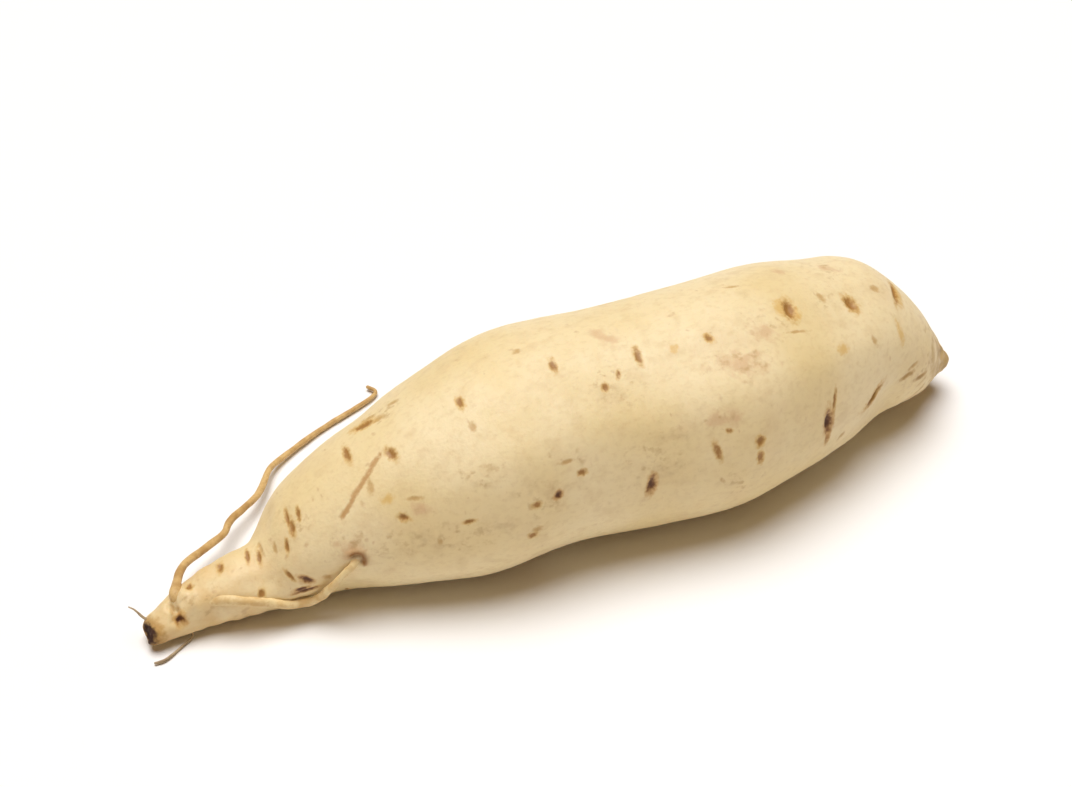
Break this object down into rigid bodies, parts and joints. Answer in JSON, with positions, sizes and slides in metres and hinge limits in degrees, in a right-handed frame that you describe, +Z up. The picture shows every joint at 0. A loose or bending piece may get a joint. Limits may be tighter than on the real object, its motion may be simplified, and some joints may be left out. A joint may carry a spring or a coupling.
{
  "type": "sweet potato",
  "caption": "Whole white-skinned sweet potato with a thin rooty tail and a blunt stem end, lying on its belly.",
  "frame": {"origin": "on the table, under the middle of the whole object", "axes": "+X from the thin tail to the stem end, +Z up from the table"},
  "size_m": [0.2016, 0.0902, 0.049],
  "materials": {
    "skin": "satin pale cream skin with brown pits and scars",
    "root_fibre": "matt tan",
    "dry_fibre": "matt dry brown"
  },
  "bodies": {
    "root": {"tuber": "skin", "long_rootlet": "root_fibre", "side_rootlet": "root_fibre", "under_rootlet": "dry_fibre", "tip_rootlet": "dry_fibre"}
  },
  "joints": []
}
